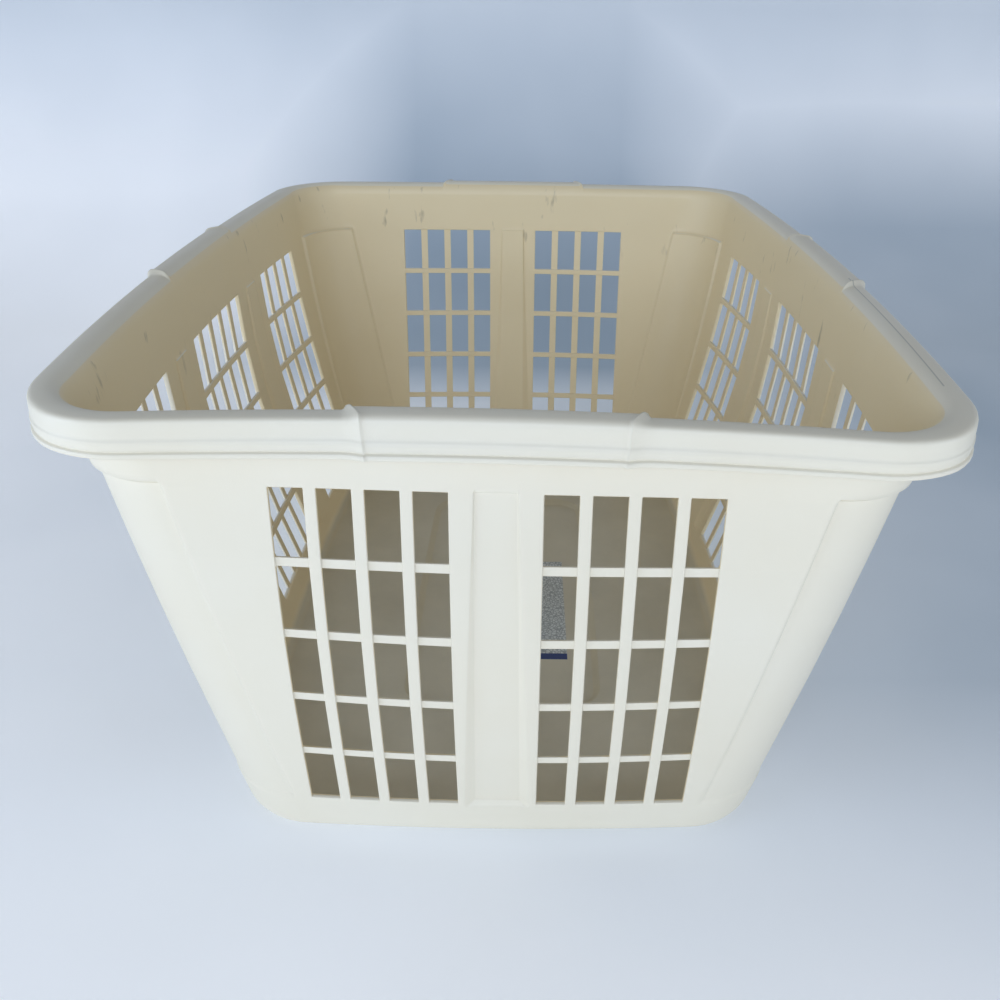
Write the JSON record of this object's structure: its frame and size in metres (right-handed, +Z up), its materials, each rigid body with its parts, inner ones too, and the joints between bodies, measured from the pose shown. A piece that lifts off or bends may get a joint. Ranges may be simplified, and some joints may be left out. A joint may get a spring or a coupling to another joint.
{
  "type": "rectangular plastic laundry basket",
  "caption": "Open rectangular laundry basket in moulded plastic, with tapered grille walls, a rolled rim with raised hand grips, rounded corners and a sunk floor panel.",
  "frame": {"origin": "middle of the footprint on the surface that the basket stands on", "axes": "+Z up out of the mouth, X across the short end walls, Y along the long side walls; the front end wall is at -Y"},
  "size_m": [0.4282, 0.5384, 0.2636],
  "materials": {
    "polypropylene_shell": "fine satin mould texture, cream, slightly aged",
    "polypropylene_floor": "fine satin mould texture, cream, lightly scuffed",
    "polypropylene_rim": "satin, rubbed smoother by hands"
  },
  "bodies": {
    "root": {"base_tray": "polypropylene_floor", "wall_front": "polypropylene_shell", "wall_back": "polypropylene_shell", "wall_left": "polypropylene_shell", "wall_right": "polypropylene_shell", "post_front_left": "polypropylene_shell", "post_front_right": "polypropylene_shell", "post_back_left": "polypropylene_shell", "post_back_right": "polypropylene_shell", "rim_front_left": "polypropylene_rim", "rim_front_right": "polypropylene_rim", "rim_back_left": "polypropylene_rim", "rim_back_right": "polypropylene_rim", "grip_front": "polypropylene_rim", "grip_back": "polypropylene_rim", "grip_left": "polypropylene_rim", "grip_right": "polypropylene_rim"}
  },
  "joints": []
}
